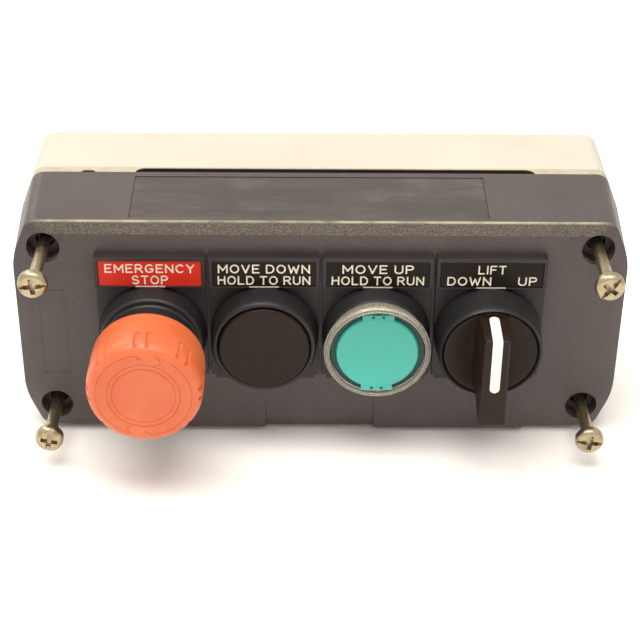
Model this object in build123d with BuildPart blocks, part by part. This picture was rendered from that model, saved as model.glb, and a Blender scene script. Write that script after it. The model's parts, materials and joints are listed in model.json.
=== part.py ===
from build123d import *

import math
import os

# Surface-mounting control station: a two-part plastic case standing on one long side, with four
# 22 mm operators in its cover and their contact blocks clipped into its base.
# Millimetres. X runs along the case, -Y is the way the operators face, Z is up.
# The origin is the centre of the rear mounting face. "h" is a height above that face, and "t" is a
# height above the cover's front face.

# ---- case -------------------------------------------------------------------------------------
LENGTH = 166.0  # over the two ends, at the parting line
WIDTH = 68.0  # over the two long sides, at the parting line
END_CORNER = 21.5  # height, above the middle, where each end turns towards the long side
END_TURN = 22.0  # angle of that turn, in degrees
END_R = 20.0  # rounding of the turn
CORNER_R = 4.0  # rounding where the turned part meets the long side
FACE = 53.0  # height of the cover's front face above the rear face
BASE_H = 27.0  # height of the parting line
PARTING_GAP = 0.05
WALL = 2.6
FLOOR = 2.6
COVER_SKIN = 3.0
DRAFT = 3.6  # cover's draft angle, in degrees
BEVEL_H = 1.3  # front bevel, along the depth
BEVEL_W = 3.4  # front bevel, across the face
REAR_R = 2.5
SLOT_X = 4.0  # middle of the finger slot at the parting line
SLOT_LENGTH = 109.0
SLOT_H = 2.4
SLOT_DEPTH = 1.0
NOTCH_X = -63.4  # middle of the lever notch beside it
NOTCH_LENGTH = 3.8
NOTCH_H = 1.1
PAD_X = 36.0  # the two flat pads on the lower front edge
PAD_LENGTH = 42.0
PAD_W = 4.0
GROOVE_X = 15.0  # the two break-out grooves on the lower front edge
GROOVE_Z = -28.4
GROOVE_LENGTH = 8.4

# ---- film label on the cover's top side -------------------------------------------------------
LABEL_X = -3.2
LABEL_H = 39.6  # middle of the label above the rear face
LABEL_LENGTH = 94.1
LABEL_W = 20.4
LABEL_POCKET = 0.4
LABEL_T = 0.25

# ---- lid screws -------------------------------------------------------------------------------
SCREW_X = 72.9
SCREW_Z = 24.9
POST_R = 5.6
BORE_R = 2.6
RECESS_R = 4.4
RECESS_DEPTH = 5.0
WEB_TOP = 45.5  # the thin web that keeps the screw in the cover
WEB_H = 2.0
WAIST_R = 1.65
THREAD_R = 2.0
THREAD_LENGTH = 8.0
SCREW_HEAD_R = 3.8
SCREW_HEAD_H = 2.8
PULLED_TOP = 20.2  # how far the upper heads stand above the face
PULLED_LOW = 17.7  # how far the lower heads stand above the face
FIT = 0.05  # radial clearance of a running fit
INSERT_R = 3.2
INSERT_TOP = 22.0
INSERT_LENGTH = 9.5

# ---- rear fixing and cable entry --------------------------------------------------------------
FIXING_X = 64.0
FIXING_Z = 22.0
FIXING_R = 2.15
BOSS_R = 4.5
BOSS_H = 3.0
ENTRY_R = 10.25
ENTRY_H = 13.5

# ---- operators --------------------------------------------------------------------------------
PITCH = 30.0
HEAD_X = [(i - 1.5) * PITCH for i in range(4)]
PANEL_HOLE_R = 11.25
BARREL_R = 11.0
BARREL_END = -11.0
BARREL_BORE_R = 9.0
BEZEL_R = 14.5
PLATE_T = 1.4  # legend holder's plate
NUT_R = 14.2
NUT_H = 4.5
PUSHER_END = -13.8  # underside of every pusher
SPRING_R = 7.8
WIRE_R = 0.35

# ---- legend holders ---------------------------------------------------------------------------
HOLDER_W = 29.1
HOLDER_TOP = 23.7
HOLDER_BOTTOM = -15.0
FRAME_BOTTOM = 14.6
FRAME_T = 3.0
LEGEND_W = 27.0
LEGEND_H = 7.4
LEGEND_T = 0.7
LEGEND_Z = 18.75
LEGEND_POCKET = 1.0

# ---- contact blocks ---------------------------------------------------------------------------
BLOCK_W = 9.2
BLOCK_L = 40.0
BLOCK_TOP = 30.0
BLOCK_STEP = 8.0  # how far the terminals lie below the top
WELL_X = 2.2
WELL_Z = 15.4
WELL_R = 1.9
PLUNGER_R = 1.4
PLUNGER_TOP = FACE + PUSHER_END - 0.1
SIDE_BLOCK = 9.7  # sideways offset of an outer block from its operator's axis
SIDE_PLUNGER = 7.0

os.makedirs("parts", exist_ok=True)


def save(part, name):
    """Label a finished piece and write it."""
    part.label = name
    export_step(part, f"parts/{name}.step")


def face_plane(h):
    """Plane parallel to the front face, h above the rear face, with +X and +Z as its axes."""
    return Plane.XZ.offset(h)


def head_section(x):
    """Section through an operator's axis: local x is the radius, local y is t."""
    return Plane(origin=(x, -FACE, 0), x_dir=(1, 0, 0), z_dir=(0, 0, -1))


def head_axis(x):
    """Axis of the operator at x."""
    return Axis((x, -FACE, 0), (0, -1, 0))


def turned(x, profile):
    """Solid of revolution about an operator's axis, from (radius, t) points."""
    with BuildPart() as piece:
        with BuildSketch(head_section(x)):
            with BuildLine():
                Polyline(*profile, close=True)
            make_face()
        revolve(axis=head_axis(x))
    return piece.part


def outline(inset):
    """Case outline at the parting line, moved inwards by inset."""
    half_l = LENGTH / 2
    half_w = WIDTH / 2
    flat = END_CORNER
    corner = half_l - (half_w - flat) * math.tan(math.radians(END_TURN))
    with BuildSketch() as sketch:
        Polygon(
            (half_l, -flat), (half_l, flat), (corner, half_w), (-corner, half_w),
            (-half_l, flat), (-half_l, -flat), (-corner, -half_w), (corner, -half_w),
            align=None,
        )
        if inset:
            offset(amount=-inset, kind=Kind.INTERSECTION)
        columns = sketch.vertices().group_by(Axis.X)
        fillet(columns[0] + columns[-1], radius=END_R)
        rows = sketch.vertices().group_by(Axis.Y)
        fillet(rows[0] + rows[-1], radius=CORNER_R)
    return sketch.sketch


def screw_points():
    """The four lid screws, in (x, z)."""
    return [(-SCREW_X, SCREW_Z), (SCREW_X, SCREW_Z), (-SCREW_X, -SCREW_Z), (SCREW_X, -SCREW_Z)]


# ---- base shell -------------------------------------------------------------------------------
def make_base():
    """Grey base: floor, walls with a sealing tongue, screw posts, fixing bosses, cable entries."""
    tongue_h = 1.6
    tongue_out = 1.35
    with BuildPart() as base:
        with BuildSketch(face_plane(0)):
            add(outline(0))
        extrude(amount=BASE_H)
        rear_edges = base.faces().sort_by(Axis.Y)[-1].edges()
        fillet(rear_edges, radius=REAR_R)
        # hollow, leaving the corner posts and the fixing bosses
        with BuildSketch(face_plane(FLOOR + BOSS_H)):
            add(outline(WALL))
            with Locations(*screw_points()):
                Circle(POST_R, mode=Mode.SUBTRACT)
        extrude(amount=BASE_H - FLOOR - BOSS_H, mode=Mode.SUBTRACT)
        with BuildSketch(face_plane(FLOOR)):
            add(outline(WALL))
            with Locations(*screw_points()):
                Circle(POST_R, mode=Mode.SUBTRACT)
            with GridLocations(2 * FIXING_X, 2 * FIXING_Z, 2, 2):
                Circle(BOSS_R, mode=Mode.SUBTRACT)
        extrude(amount=BOSS_H, mode=Mode.SUBTRACT)
        # tongue that enters the cover
        with BuildSketch(face_plane(BASE_H)):
            add(outline(tongue_out))
            add(outline(WALL), mode=Mode.SUBTRACT)
        extrude(amount=tongue_h)
        # screw posts: clearance bore, then the seat of the thread insert
        with BuildSketch(face_plane(BASE_H)):
            with Locations(*screw_points()):
                Circle(BORE_R)
        extrude(amount=-(BASE_H - FLOOR - 4.0), mode=Mode.SUBTRACT)
        with BuildSketch(face_plane(INSERT_TOP)):
            with Locations(*screw_points()):
                Circle(INSERT_R)
        extrude(amount=-INSERT_LENGTH, mode=Mode.SUBTRACT)
        # fixing holes through the floor
        with BuildSketch(face_plane(0)):
            with GridLocations(2 * FIXING_X, 2 * FIXING_Z, 2, 2):
                Circle(FIXING_R)
        extrude(amount=FLOOR + BOSS_H, mode=Mode.SUBTRACT)
        # cable entry, broken out at +X
        with BuildSketch(Plane.YZ.offset(LENGTH / 2 - WALL)):
            with Locations((-ENTRY_H, 0)):
                Circle(ENTRY_R)
        extrude(amount=WALL + 1, mode=Mode.SUBTRACT)
        # moulded knock-out, still whole, at -X
        with BuildSketch(Plane.YZ.offset(-LENGTH / 2)):
            with Locations((-ENTRY_H, 0)):
                Circle(ENTRY_R)
                Circle(ENTRY_R - 0.6, mode=Mode.SUBTRACT)
        extrude(amount=WALL - 0.8, mode=Mode.SUBTRACT)
        # finger slot and lever notch at the parting line, on each long side
        for side in (1, -1):
            with BuildSketch(Plane.XY.offset(side * (WIDTH / 2 - SLOT_DEPTH))):
                with Locations((SLOT_X, -BASE_H)):
                    RectangleRounded(SLOT_LENGTH, 2 * SLOT_H, SLOT_H - 0.1)
                with Locations((NOTCH_X, -BASE_H)):
                    RectangleRounded(NOTCH_LENGTH, 2 * NOTCH_H, NOTCH_H - 0.05)
            extrude(amount=side * (SLOT_DEPTH + 1), mode=Mode.SUBTRACT)
    save(base.part, "base_shell")


def make_inserts():
    """Brass thread inserts in the base's corner posts."""
    with BuildPart() as inserts:
        with BuildSketch(face_plane(INSERT_TOP)):
            with Locations(*screw_points()):
                Circle(INSERT_R)
                Circle(THREAD_R + FIT, mode=Mode.SUBTRACT)
        extrude(amount=-INSERT_LENGTH)
    save(inserts.part, "thread_inserts")


# ---- cover shell ------------------------------------------------------------------------------
RISE = BASE_H + PARTING_GAP
GASKET_TOP = 29.5


def label_plane(sink):
    """Plane on the cover's drafted top side, sunk into it, with local x along +X."""
    slope = math.radians(DRAFT)
    half = WIDTH / 2 - (LABEL_H - RISE) * math.tan(slope)
    normal = (0, -math.sin(slope), math.cos(slope))
    return Plane(origin=(LABEL_X, -LABEL_H, half), x_dir=(1, 0, 0), z_dir=normal).offset(-sink)


def make_cover():
    """Dark cover: drafted shell with bevelled front, operator holes and screw recesses."""
    slope = math.tan(math.radians(DRAFT))
    shoulder = FACE - BEVEL_H
    shoulder_inset = (shoulder - RISE) * slope
    with BuildPart() as cover:
        with BuildSketch(face_plane(RISE)):
            add(outline(0))
        with BuildSketch(face_plane(shoulder)):
            add(outline(shoulder_inset))
        loft(ruled=True)
        with BuildSketch(face_plane(shoulder)):
            add(outline(shoulder_inset))
        with BuildSketch(face_plane(FACE)):
            add(outline(shoulder_inset + BEVEL_W))
        loft(ruled=True)
        # the bevel stops short at two flat pads on the lower long side
        front_half = WIDTH / 2 - shoulder_inset
        for side in (1, -1):
            with BuildSketch(face_plane(FACE - BEVEL_H - 0.2)):
                with Locations((side * PAD_X, -front_half + PAD_W / 2 + 0.02)):
                    Rectangle(PAD_LENGTH, PAD_W)
            extrude(amount=BEVEL_H + 0.2)
        # hollow
        with BuildSketch(face_plane(RISE)):
            add(outline(WALL))
            with Locations(*screw_points()):
                Circle(POST_R, mode=Mode.SUBTRACT)
        extrude(amount=FACE - COVER_SKIN - RISE, taper=DRAFT, mode=Mode.SUBTRACT)
        # rebate for the base's tongue and the gasket
        with BuildSketch(face_plane(RISE)):
            add(outline(1.25))
            add(outline(WALL + 0.1), mode=Mode.SUBTRACT)
        extrude(amount=GASKET_TOP - RISE, mode=Mode.SUBTRACT)
        # operator holes
        with BuildSketch(face_plane(FACE)):
            with Locations(*[(x, 0) for x in HEAD_X]):
                Circle(PANEL_HOLE_R)
        extrude(amount=-COVER_SKIN, mode=Mode.SUBTRACT)
        # screw recesses, bores and captive webs
        with BuildSketch(face_plane(FACE)):
            with Locations(*screw_points()):
                Circle(RECESS_R)
        extrude(amount=-RECESS_DEPTH, mode=Mode.SUBTRACT)
        with BuildSketch(face_plane(FACE - RECESS_DEPTH)):
            with Locations(*screw_points()):
                Circle(BORE_R)
        extrude(amount=WEB_TOP - FACE + RECESS_DEPTH, mode=Mode.SUBTRACT)
        with BuildSketch(face_plane(WEB_TOP)):
            with Locations(*screw_points()):
                Circle(WAIST_R + 0.08)
        extrude(amount=-WEB_H, mode=Mode.SUBTRACT)
        with BuildSketch(face_plane(WEB_TOP - WEB_H)):
            with Locations(*screw_points()):
                Circle(BORE_R)
        extrude(amount=-(WEB_TOP - WEB_H - RISE), mode=Mode.SUBTRACT)
        # shallow pocket for the film label on the top side
        with BuildSketch(label_plane(0)):
            Rectangle(LABEL_LENGTH + 0.4, LABEL_W + 0.4)
        extrude(amount=-LABEL_POCKET, mode=Mode.SUBTRACT)
        # break-out grooves on the lower front edge
        with BuildSketch(face_plane(FACE)):
            with Locations((-GROOVE_X, GROOVE_Z), (GROOVE_X, GROOVE_Z)):
                Rectangle(0.35, GROOVE_LENGTH)
        extrude(amount=-0.3, mode=Mode.SUBTRACT)
    save(cover.part, "cover_shell")


def make_label():
    """Glossy film label in the pocket on the cover's top side."""
    with BuildPart() as label:
        with BuildSketch(label_plane(LABEL_POCKET)):
            RectangleRounded(LABEL_LENGTH, LABEL_W, 1.0)
        extrude(amount=LABEL_T)
    save(label.part, "film_label")


def make_gasket():
    """Sealing ring in the cover's rebate, just clear of the base's tongue."""
    with BuildPart() as gasket:
        with BuildSketch(face_plane(GASKET_TOP)):
            add(outline(1.35))
            add(outline(WALL - 0.05), mode=Mode.SUBTRACT)
        extrude(amount=-0.85)
    save(gasket.part, "lid_gasket")


# ---- lid screws -------------------------------------------------------------------------------
def make_screw(index, x, z, pulled):
    """Captive waisted screw, pulled out of its recess, with a slot-and-cross head."""
    seat = FACE + pulled - SCREW_HEAD_H
    out = PULLED_TOP - pulled
    thread_start = WEB_TOP - WEB_H - 0.1 - out
    plane = Plane(origin=(x, 0, z), x_dir=(1, 0, 0), z_dir=(0, 0, -1))
    with BuildPart() as screw:
        with BuildSketch(plane):
            with BuildLine():
                Polyline(
                    (0, seat + SCREW_HEAD_H), (SCREW_HEAD_R - 0.7, seat + SCREW_HEAD_H),
                    (SCREW_HEAD_R, seat + SCREW_HEAD_H - 0.6), (SCREW_HEAD_R, seat),
                    (WAIST_R, seat), (WAIST_R, thread_start), (THREAD_R, thread_start - 0.3),
                    (THREAD_R, thread_start - THREAD_LENGTH + 0.6),
                    (THREAD_R - 0.6, thread_start - THREAD_LENGTH),
                    (0, thread_start - THREAD_LENGTH), close=True,
                )
            make_face()
        revolve(axis=Axis((x, 0, z), (0, -1, 0)))
        with BuildSketch(Plane(origin=(x, -seat - SCREW_HEAD_H, z), x_dir=(1, 0, 0), z_dir=(0, -1, 0))):
            Rectangle(0.9, 2 * SCREW_HEAD_R)
            Rectangle(4.2, 0.9)
        extrude(amount=-1.2, mode=Mode.SUBTRACT)
    save(screw.part, f"cover_screw_{index}")


# ---- legend holders and plates ----------------------------------------------------------------
def make_legend(name, x):
    """Legend holder with its raised frame, and the legend plate in it."""
    height = HOLDER_TOP - HOLDER_BOTTOM
    frame_h = HOLDER_TOP - FRAME_BOTTOM
    with BuildPart() as holder:
        with BuildSketch(face_plane(FACE)):
            with Locations((x, (HOLDER_TOP + HOLDER_BOTTOM) / 2)):
                Rectangle(HOLDER_W, height)
            with Locations((x, 0)):
                Circle(PANEL_HOLE_R, mode=Mode.SUBTRACT)
        extrude(amount=PLATE_T)
        with BuildSketch(face_plane(FACE)):
            with Locations((x, HOLDER_TOP - frame_h / 2)):
                Rectangle(HOLDER_W, frame_h)
        extrude(amount=FRAME_T)
        with BuildSketch(face_plane(FACE + FRAME_T)):
            with Locations((x, LEGEND_Z)):
                Rectangle(LEGEND_W + 0.2, LEGEND_H + 0.2)
        extrude(amount=-LEGEND_POCKET, mode=Mode.SUBTRACT)
        with BuildSketch(face_plane(FACE + FRAME_T)):
            with Locations((x, LEGEND_Z - LEGEND_H / 2 - 0.3)):
                Rectangle(8.0, 0.6)
        extrude(amount=-LEGEND_POCKET, mode=Mode.SUBTRACT)
        with BuildSketch(face_plane(FACE)):
            for side in (1, -1):
                with Locations((x + side * (HOLDER_W / 2 - 0.6), HOLDER_BOTTOM + 0.6)):
                    Rectangle(1.2, 1.2)
        extrude(amount=PLATE_T, mode=Mode.SUBTRACT)
    save(holder.part, f"{name}_legend_holder")

    with BuildPart() as plate:
        with BuildSketch(face_plane(FACE + FRAME_T - LEGEND_POCKET)):
            with Locations((x, LEGEND_Z)):
                Rectangle(LEGEND_W, LEGEND_H)
        extrude(amount=LEGEND_T)
    save(plate.part, f"{name}_legend")


# ---- pieces common to the operators -----------------------------------------------------------
def make_fixings(name, x):
    """Sealing ring under the bezel, and the ring nut behind the panel."""
    ring = [(11.5, PLATE_T), (13.2, PLATE_T), (13.2, PLATE_T + 0.8), (11.5, PLATE_T + 0.8)]
    save(turned(x, ring), f"{name}_seal")

    top = -COVER_SKIN - 0.02
    with BuildPart() as nut:
        with BuildSketch(face_plane(FACE + top)):
            with Locations((x, 0)):
                Circle(NUT_R - 0.6)
                with PolarLocations(NUT_R - 0.9, 24):
                    Rectangle(1.8, 1.5)
                Circle(BARREL_R + FIT, mode=Mode.SUBTRACT)
        extrude(amount=-NUT_H)
    save(nut.part, f"{name}_nut")


def make_spring(name, x, low, high, turns):
    """Round-wire compression spring about the operator's axis, from t = low to t = high."""
    length = high - low - 2 * WIRE_R
    with BuildPart() as spring:
        with BuildLine() as path:
            Helix(
                pitch=length / turns, height=length, radius=SPRING_R,
                center=(x, -FACE - low - WIRE_R, 0), direction=(0, -1, 0),
            )
        with BuildSketch(Plane(origin=path.line @ 0, z_dir=path.line % 0)):
            Circle(WIRE_R)
        sweep(path=path.line, is_frenet=True)
    save(spring.part, f"{name}_spring")


def bezel_profile(rim_r, rim_t, bore_r, floor_t, ledge_r):
    """Half-section of a bezel with its seal groove, threaded barrel and spring ledge."""
    return [
        (BEZEL_R, PLATE_T), (BEZEL_R, PLATE_T + 1.0), (rim_r + 0.25, rim_t - 0.8), (rim_r - 0.25, rim_t),
        (bore_r + 0.35, rim_t), (bore_r, rim_t - 0.35), (bore_r, floor_t), (BARREL_BORE_R, floor_t),
        (BARREL_BORE_R, BARREL_END + 1.5), (ledge_r, BARREL_END + 1.5), (ledge_r, BARREL_END),
        (BARREL_R, BARREL_END), (BARREL_R, PLATE_T + 0.8), (13.3, PLATE_T + 0.8), (13.3, PLATE_T),
    ]


# ---- emergency stop ---------------------------------------------------------------------------
def make_estop(x):
    """Turn-to-release mushroom head: collar, red cap on its hub, stem and spring."""
    collar = [
        (BEZEL_R, PLATE_T), (BEZEL_R, PLATE_T + 1.0), (13.9, 7.4), (13.4, 8.0), (12.4, 8.0),
        (12.0, 8.6), (12.0, 16.3), (11.7, 16.6), (9.6, 16.6), (9.6, 3.0), (BARREL_BORE_R, 3.0),
        (BARREL_BORE_R, BARREL_END + 1.5), (4.6, BARREL_END + 1.5), (4.6, BARREL_END),
        (BARREL_R, BARREL_END), (BARREL_R, PLATE_T + 0.8), (13.3, PLATE_T + 0.8), (13.3, PLATE_T),
    ]
    save(turned(x, collar), "estop_head")

    back = 15.6
    front = 32.3
    mushroom = [
        (0, front), (11.6, front), (12.9, front - 0.35), (14.3, front - 1.4), (14.9, front - 2.6),
        (15.05, front - 4.2), (14.85, back + 1.0), (14.3, back), (13.0, back), (12.9, front - 4.3),
        (6.2, front - 4.3), (6.2, front - 3.5), (0, front - 3.5),
    ]
    with BuildPart() as cap:
        add(turned(x, mushroom))
        # pairs of short grip slots around the rim
        for k in range(6):
            for side in (-1, 1):
                angle = 90 + 60 * k + side * 6.4
                radial = Vector(math.cos(math.radians(angle)), 0, math.sin(math.radians(angle)))
                spot = Vector(x, -FACE - front + 6.0, 0) + radial * 15.3
                plane = Plane(origin=spot, x_dir=(0, -1, 0), z_dir=-radial)
                with BuildSketch(plane):
                    SlotOverall(4.6, 1.1)
                extrude(amount=0.85, mode=Mode.SUBTRACT)
    save(cap.part, "estop_mushroom")

    hub = [(4.06, 22.0), (12.85, 22.0), (12.85, 27.9), (11.2, 27.9), (11.2, 26.0), (4.06, 26.0)]
    save(turned(x, hub), "estop_hub")

    stem = [
        (0, 27.6), (5.2, 27.6), (5.2, 26.05), (4.0, 26.05), (4.0, 21.95), (5.6, 21.95), (5.6, 14.6),
        (8.7, 14.6), (8.7, 13.2), (4.0, 13.2), (4.0, BARREL_END - 0.05), (8.5, BARREL_END - 0.05),
        (8.5, PUSHER_END), (0, PUSHER_END),
    ]
    save(turned(x, stem), "estop_stem")
    make_spring("estop", x, BARREL_END + 1.5, 13.2, 6)


# ---- black push-button ------------------------------------------------------------------------
def make_black(x):
    """Flush push-button: bezel, black cap with its pusher, and spring."""
    save(turned(x, bezel_profile(13.7, 9.4, 12.3, 3.0, 6.8)), "black_head")
    cap = [
        (0, 8.6), (6.0, 8.7), (11.0, 9.1), (11.7, 9.2), (12.1, 8.8), (12.1, 6.9), (6.6, 6.9),
        (6.6, BARREL_END - 0.05), (8.5, BARREL_END - 0.05), (8.5, PUSHER_END), (0, PUSHER_END),
        (0, PUSHER_END + 1.4), (5.0, PUSHER_END + 1.4), (5.0, 6.2), (0, 6.2),
    ]
    save(turned(x, cap), "black_button")
    make_spring("black", x, BARREL_END + 1.5, 6.9, 5)


# ---- green illuminated push-button ------------------------------------------------------------
def make_green(x):
    """Illuminated push-button: bezel, clear ring, lens, lens holder and spring."""
    save(turned(x, bezel_profile(13.3, 8.0, 12.45, 3.0, 6.8)), "green_head")
    ring = [
        (13.05, 8.05), (13.55, 8.05), (13.7, 7.4), (14.25, 7.4), (14.35, 9.4), (14.0, 10.4), (13.5, 10.75),
        (13.0, 10.4), (12.75, 9.6), (12.6, 8.05),
    ]
    save(turned(x, ring), "green_clear_ring")

    lens = [
        (0, 10.6), (9.4, 10.6), (10.9, 10.45), (11.25, 10.1), (11.25, 9.2), (12.3, 9.2), (12.3, 7.2),
        (11.4, 7.2), (11.4, 8.4), (0, 8.4),
    ]
    with BuildPart() as green_lens:
        add(turned(x, lens))
        # bridging tabs at the top and bottom of the lens
        with BuildSketch(face_plane(FACE + 9.2)):
            with Locations((x, 0)):
                Circle(12.3)
            with Locations((x - 12, 0), (x + 12, 0)):
                Rectangle(16, 30, mode=Mode.SUBTRACT)
        extrude(amount=0.8)
        with BuildSketch(face_plane(FACE + 10.0)):
            with Locations((x - 1.3, 11.8), (x + 1.3, 11.8), (x - 1.3, -11.8), (x + 1.3, -11.8)):
                Circle(0.38)
        extrude(amount=-1.0, mode=Mode.SUBTRACT)
    save(green_lens.part, "green_lens")

    holder = [
        (5.4, 8.4), (11.4, 8.4), (11.4, 7.2), (6.6, 7.2), (6.6, BARREL_END - 0.05),
        (8.5, BARREL_END - 0.05), (8.5, PUSHER_END), (4.6, PUSHER_END), (4.6, PUSHER_END + 1.4),
        (5.4, PUSHER_END + 1.4),
    ]
    save(turned(x, holder), "green_lens_holder")
    make_spring("green", x, BARREL_END + 1.5, 7.2, 5)


# ---- selector switch --------------------------------------------------------------------------
def make_selector(x):
    """Three-position selector with a long handle: bezel, knob, white pointer, cam and spring."""
    save(turned(x, bezel_profile(13.5, 11.9, 12.7, 3.0, 6.8)), "selector_head")

    disc_t = 11.7
    side_view = Plane(origin=(x, -FACE, 0), x_dir=(0, -1, 0), z_dir=(-1, 0, 0))
    handle_side = [
        (disc_t - 1.0, 11.6), (disc_t + 0.4, 11.6), (24.0, 11.3), (24.2, -14.6), (22.6, -15.1),
        (14.5, -11.0), (disc_t - 1.0, -10.5),
    ]
    with BuildPart() as knob:
        add(turned(x, [
            (0, disc_t), (12.2, disc_t), (12.55, disc_t - 0.35), (12.55, 7.0), (6.6, 7.0), (6.6, 0.0),
            (5.0, 0.0), (5.0, 6.0), (0, 6.0),
        ]))
        # handle: its flanks lean in from the disc to the crest
        with BuildSketch(side_view):
            Polygon(*handle_side, align=None)
        extrude(amount=4.7, both=True)
    flank = [(4.7, disc_t), (3.6, disc_t + 3.0), (3.4, 26.0), (9.0, 26.0), (9.0, disc_t)]
    with BuildPart() as flank_cut:
        for side in (1, -1):
            with BuildSketch(head_section(x)):
                Polygon(*[(side * across, t) for across, t in flank], align=None)
            extrude(amount=20, both=True)
    with BuildPart() as groove:
        with BuildSketch(side_view):
            Polygon(
                (disc_t + 0.5, 12.0), (24.4, 11.8), (24.4, -4.1), (23.3, -4.1), (23.3, 10.6),
                (disc_t + 0.5, 10.8), align=None,
            )
        extrude(amount=1.25, both=True)
    handle = knob.part - flank_cut.part
    save(handle - groove.part, "selector_handle")
    save(handle & groove.part, "selector_pointer")

    cam = [
        (0, 5.9), (4.9, 5.9), (4.9, -0.05), (6.6, -0.05), (6.6, BARREL_END - 0.05),
        (8.5, BARREL_END - 0.05), (8.5, PUSHER_END), (0, PUSHER_END),
    ]
    save(turned(x, cam), "selector_cam")
    make_spring("selector", x, BARREL_END + 1.5, 3.0, 8)


# ---- contact blocks in the base ---------------------------------------------------------------
def make_block(name, x, plunger_x, lamp=False):
    """Contact block clipped to the base's floor, with its spring-loaded plunger or its lamp."""
    foot = FLOOR + 0.03
    with BuildPart() as block:
        with BuildSketch(face_plane(foot)):
            with Locations((x, 0)):
                Rectangle(BLOCK_W, BLOCK_L)
        extrude(amount=BLOCK_TOP - BLOCK_STEP - foot)
        with BuildSketch(face_plane(BLOCK_TOP - BLOCK_STEP)):
            with Locations((x, 0)):
                Rectangle(BLOCK_W, BLOCK_L / 2)
        extrude(amount=BLOCK_STEP)
        # terminal wells, with wire ways through the ends
        for side in (1, -1):
            with BuildSketch(face_plane(BLOCK_TOP - BLOCK_STEP)):
                with Locations((x - WELL_X, side * WELL_Z), (x + WELL_X, side * WELL_Z)):
                    Circle(WELL_R)
            extrude(amount=-6.0, mode=Mode.SUBTRACT)
            end = Plane(origin=(x, 0, side * BLOCK_L / 2), x_dir=(1, 0, 0), z_dir=(0, 0, side))
            with BuildSketch(end):
                for dx in (-WELL_X, WELL_X):
                    with Locations((dx, -side * 13.6)):
                        Rectangle(2.6, 3.0)
            extrude(amount=-6.0, mode=Mode.SUBTRACT)
        if lamp:
            with BuildSketch(face_plane(BLOCK_TOP)):
                with Locations((x, 0)):
                    Circle(3.6)
            extrude(amount=3.0)
            with BuildSketch(face_plane(BLOCK_TOP + 3.0)):
                with Locations((x, 0)):
                    Circle(2.4)
            extrude(amount=2.2)
        else:
            with BuildSketch(face_plane(BLOCK_TOP)):
                with Locations((plunger_x, 0)):
                    Circle(PLUNGER_R + FIT)
            extrude(amount=-12.0, mode=Mode.SUBTRACT)
    save(block.part, f"{name}_block")

    if not lamp:
        with BuildPart() as plunger:
            with BuildSketch(face_plane(PLUNGER_TOP)):
                with Locations((plunger_x, 0)):
                    Circle(PLUNGER_R)
            extrude(amount=-(PLUNGER_TOP - BLOCK_TOP + 6.0))
            fillet(plunger.faces().sort_by(Axis.Y)[0].edges(), radius=0.4)
        save(plunger.part, f"{name}_plunger")


def make_terminal_screws(columns):
    """Slotted terminal screws, two in each end of every block, as one group."""
    wells = []
    for x in columns:
        for dx in (-WELL_X, WELL_X):
            wells += [(x + dx, WELL_Z), (x + dx, -WELL_Z)]
    with BuildPart() as screws:
        with BuildSketch(face_plane(BLOCK_TOP - 14.0)):
            with Locations(*wells):
                Circle(WELL_R - 0.15)
        extrude(amount=4.4)
        with BuildSketch(face_plane(BLOCK_TOP - 9.6)):
            with Locations(*wells):
                Rectangle(0.6, 3.6)
        extrude(amount=-0.7, mode=Mode.SUBTRACT)
    save(screws.part, "terminal_screws")


def main():
    make_base()
    make_inserts()
    make_cover()
    make_label()
    make_gasket()
    for index, (x, z) in enumerate(screw_points()):
        make_screw(index + 1, x, z, PULLED_TOP if z > 0 else PULLED_LOW)
    names = ["estop", "black", "green", "selector"]
    for name, x in zip(names, HEAD_X):
        make_legend(name, x)
        make_fixings(name, x)
    make_estop(HEAD_X[0])
    make_black(HEAD_X[1])
    make_green(HEAD_X[2])
    make_selector(HEAD_X[3])
    estop, black, green, selector = HEAD_X
    make_block("estop_contact", estop, estop)
    make_block("black_contact", black, black)
    make_block("green_contact", green - SIDE_BLOCK, green - SIDE_PLUNGER)
    make_block("green_lamp", green, green, lamp=True)
    make_block("selector_left_contact", selector - SIDE_BLOCK, selector - SIDE_PLUNGER)
    make_block("selector_right_contact", selector + SIDE_BLOCK, selector + SIDE_PLUNGER)
    make_terminal_screws([
        estop, black, green - SIDE_BLOCK, green, selector - SIDE_BLOCK, selector + SIDE_BLOCK,
    ])


main()
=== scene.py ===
import json
import math

import bmesh
import bpy
from mathutils import Matrix, Vector


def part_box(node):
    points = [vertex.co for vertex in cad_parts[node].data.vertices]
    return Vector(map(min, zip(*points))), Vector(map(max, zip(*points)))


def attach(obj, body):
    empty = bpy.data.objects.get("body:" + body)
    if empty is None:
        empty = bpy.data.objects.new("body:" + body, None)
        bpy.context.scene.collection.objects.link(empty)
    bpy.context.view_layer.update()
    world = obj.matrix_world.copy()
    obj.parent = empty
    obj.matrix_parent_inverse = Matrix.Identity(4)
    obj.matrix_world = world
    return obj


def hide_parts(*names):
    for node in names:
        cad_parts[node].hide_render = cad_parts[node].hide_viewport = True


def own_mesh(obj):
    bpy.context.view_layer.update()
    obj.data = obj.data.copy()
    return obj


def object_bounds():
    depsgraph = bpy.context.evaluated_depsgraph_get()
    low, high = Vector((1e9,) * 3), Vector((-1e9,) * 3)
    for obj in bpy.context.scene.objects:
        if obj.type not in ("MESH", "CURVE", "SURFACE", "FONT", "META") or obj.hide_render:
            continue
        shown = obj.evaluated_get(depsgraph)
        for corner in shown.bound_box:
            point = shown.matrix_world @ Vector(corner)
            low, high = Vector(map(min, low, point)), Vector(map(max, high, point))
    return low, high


# Looks of the control station. Metres, in the CAD model's frame: X along the case, the operators
# face -Y, Z is up. "t" is a height above the cover's front face, and "r" a radius, both in mm.

MM = 0.001
OPERATORS = ("estop", "black", "green", "selector")

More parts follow.
